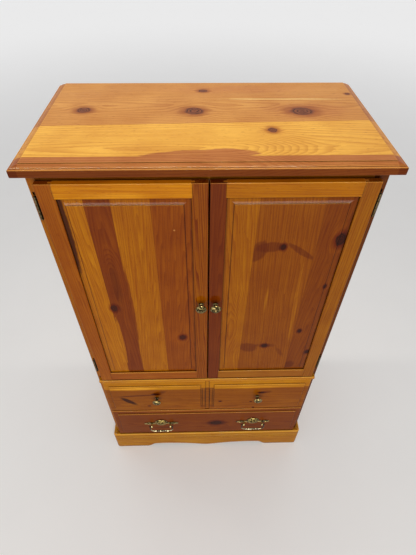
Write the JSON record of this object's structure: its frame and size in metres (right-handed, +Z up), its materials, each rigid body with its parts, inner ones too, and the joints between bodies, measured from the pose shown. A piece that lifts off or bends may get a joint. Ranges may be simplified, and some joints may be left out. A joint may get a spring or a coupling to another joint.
{
  "type": "tv armoire",
  "caption": "Pine television armoire with raised-panel doors on butt hinges above lipped drawers, with a moulded top, waist ledge and scalloped plinth.",
  "frame": {"origin": "on the floor, in the middle of the whole part's footprint, knobs and top included", "axes": "+Z up, +X to the viewer's right, the doors and drawers face -Y"},
  "size_m": [1, 0.5724, 1.746],
  "materials": {
    "lacquered_pine": "knotty pine, stained honey and lacquered glossy",
    "plain_pine": "planed, unfinished",
    "plywood": "thin birch-faced plywood",
    "antique_brass": "aged, dark in the hollows",
    "zinc_steel": "bright zinc",
    "catch_plastic": "brown, with magnets"
  },
  "bodies": {
    "case": {"top_panel": "lacquered_pine", "top_cleats": "plain_pine", "top_screws": "zinc_steel", "left_side_panel": "lacquered_pine", "right_side_panel": "lacquered_pine", "shelf_pins": "zinc_steel", "tv_shelf": "lacquered_pine", "tv_deck": "lacquered_pine", "base_panel": "plain_pine", "back_panel": "plywood", "case_hinge_leaves": "antique_brass", "hinge_pins": "antique_brass", "case_hinge_screws": "antique_brass", "frame_stiles": "lacquered_pine", "frame_top_rail": "lacquered_pine", "frame_waist_rail": "lacquered_pine", "frame_drawer_rail": "lacquered_pine", "frame_bottom_rail": "lacquered_pine", "waist_ledge": "lacquered_pine", "plinth_front": "lacquered_pine", "plinth_sides": "lacquered_pine", "base_blocks": "plain_pine", "door_catches": "catch_plastic", "drawer_runners": "plain_pine", "drawer_stops": "plain_pine"},
    "left_door": {"left_hinge_stile": "lacquered_pine", "left_meeting_stile": "lacquered_pine", "left_door_top_rail": "lacquered_pine", "left_door_bottom_rail": "lacquered_pine", "left_door_panel": "lacquered_pine", "left_door_hinge_leaves": "antique_brass", "left_door_hinge_screws": "antique_brass", "left_door_knob": "antique_brass", "left_door_knob_screw": "zinc_steel", "left_door_strike": "zinc_steel"},
    "right_door": {"right_hinge_stile": "lacquered_pine", "right_meeting_stile": "lacquered_pine", "right_door_top_rail": "lacquered_pine", "right_door_bottom_rail": "lacquered_pine", "right_door_panel": "lacquered_pine", "right_door_hinge_leaves": "antique_brass", "right_door_hinge_screws": "antique_brass", "right_door_knob": "antique_brass", "right_door_knob_screw": "zinc_steel", "right_door_strike": "zinc_steel"},
    "upper_drawer": {"upper_drawer_front": "lacquered_pine", "upper_drawer_sides": "plain_pine", "upper_drawer_back": "plain_pine", "upper_drawer_bottom": "plywood", "drawer_knobs": "antique_brass", "drawer_knob_screws": "zinc_steel"},
    "lower_drawer": {"lower_drawer_front": "lacquered_pine", "lower_drawer_sides": "plain_pine", "lower_drawer_back": "plain_pine", "lower_drawer_bottom": "plywood", "pull_plates": "antique_brass", "pull_posts": "antique_brass"},
    "left_bail": {"left_bail": "antique_brass"},
    "right_bail": {"right_bail": "antique_brass"}
  },
  "joints": [
    {"name": "left_door_hinge", "type": "hinge", "parent": "case", "child": "left_door", "pos_m": [-0.47, -0.2372, 1.2015], "axis": [0, 0, -1], "range_deg": [0, 120]},
    {"name": "right_door_hinge", "type": "hinge", "parent": "case", "child": "right_door", "pos_m": [0.47, -0.2372, 1.2015], "axis": [0, 0, 1], "range_deg": [0, 120]},
    {"name": "upper_drawer_slide", "type": "slide", "parent": "case", "child": "upper_drawer", "axis": [0, -1, 0], "range_m": [0, 0.36]},
    {"name": "lower_drawer_slide", "type": "slide", "parent": "case", "child": "lower_drawer", "axis": [0, -1, 0], "range_m": [0, 0.36]},
    {"name": "left_bail_pivot", "type": "hinge", "parent": "lower_drawer", "child": "left_bail", "pos_m": [-0.2345, -0.2708, 0.277], "axis": [-1, 0, 0], "range_deg": [-12, 90]},
    {"name": "right_bail_pivot", "type": "hinge", "parent": "lower_drawer", "child": "right_bail", "pos_m": [0.2345, -0.2708, 0.277], "axis": [-1, 0, 0], "range_deg": [-12, 90]}
  ]
}
